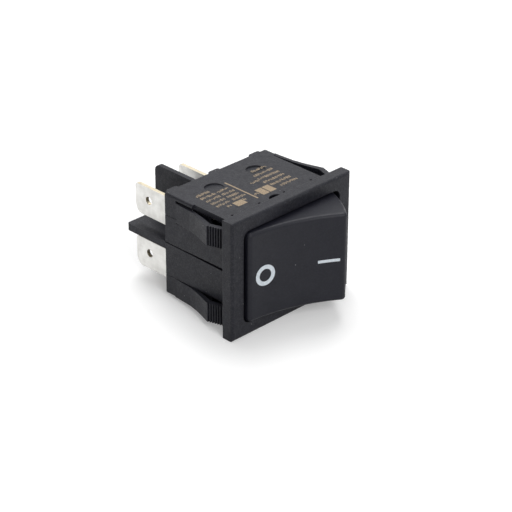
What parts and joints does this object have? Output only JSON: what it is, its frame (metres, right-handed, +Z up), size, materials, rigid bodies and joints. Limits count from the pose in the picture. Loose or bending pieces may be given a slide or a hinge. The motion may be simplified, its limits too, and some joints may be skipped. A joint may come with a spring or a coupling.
{
  "type": "panel rocker switch",
  "caption": "Snap-in rectangular rocker switch with a rocking actuator in a bezel, blade terminals behind and insulating barriers between them.",
  "frame": {"origin": "centre of the panel plane, which is the rear face of the bezel, on the axis of the body", "axes": "+X along the long side from the O end to the I end, +Y backwards from the bezel to the terminals, +Z up across the short side"},
  "size_m": [0.032, 0.0394, 0.0252],
  "materials": {
    "black_nylon": "satin, finely textured",
    "rocker_nylon": "satin",
    "white_mark": "matte",
    "plated_tab": "tin-plated, dull",
    "contact_silver": "polished",
    "blade_copper": "rolled copper",
    "plunger_nylon": "natural",
    "spring_steel": "drawn wire"
  },
  "bodies": {
    "switch_body": {"housing": "black_nylon", "base": "black_nylon", "line_terminal_upper": "plated_tab", "line_terminal_lower": "plated_tab", "load_terminal_upper": "plated_tab", "load_terminal_lower": "plated_tab", "fixed_contact_upper": "contact_silver", "fixed_contact_lower": "contact_silver"},
    "rocker_body": {"rocker": "rocker_nylon", "o_mark": "white_mark", "i_mark": "white_mark", "spring_upper": "spring_steel", "spring_lower": "spring_steel"},
    "blade_upper_body": {"blade_upper": "blade_copper", "moving_contact_upper": "contact_silver"},
    "blade_lower_body": {"blade_lower": "blade_copper", "moving_contact_lower": "contact_silver"},
    "plunger_upper_body": {"plunger_upper": "plunger_nylon"},
    "plunger_lower_body": {"plunger_lower": "plunger_nylon"}
  },
  "joints": [
    {"name": "rocker_tilt", "type": "hinge", "parent": "switch_body", "child": "rocker_body", "pos_m": [0, 0.0006, 0], "axis": [0, 0, 1], "range_deg": [0, 39]},
    {"name": "blade_upper_rock", "type": "hinge", "parent": "switch_body", "child": "blade_upper_body", "pos_m": [0, 0.00873, 0.0058], "axis": [0, 0, 1], "range_deg": [-17.6, 0]},
    {"name": "blade_lower_rock", "type": "hinge", "parent": "switch_body", "child": "blade_lower_body", "pos_m": [0, 0.00873, -0.0058], "axis": [0, 0, 1], "range_deg": [-17.6, 0]},
    {"name": "plunger_upper_slide", "type": "slide", "parent": "rocker_body", "child": "plunger_upper_body", "axis": [-0.3338, -0.9426, 0], "range_m": [0, 0.0008], "stiffness_N_per_m": 150, "springref_m": -0.002, "deforming": ["spring_upper"]},
    {"name": "plunger_lower_slide", "type": "slide", "parent": "rocker_body", "child": "plunger_lower_body", "axis": [-0.3338, -0.9426, 0], "range_m": [0, 0.0008], "stiffness_N_per_m": 150, "springref_m": -0.002, "deforming": ["spring_lower"]}
  ],
  "couplings": [
    {"joint": "blade_upper_rock", "follows": "rocker_tilt", "ratio": -0.45128},
    {"joint": "blade_lower_rock", "follows": "rocker_tilt", "ratio": -0.45128}
  ]
}
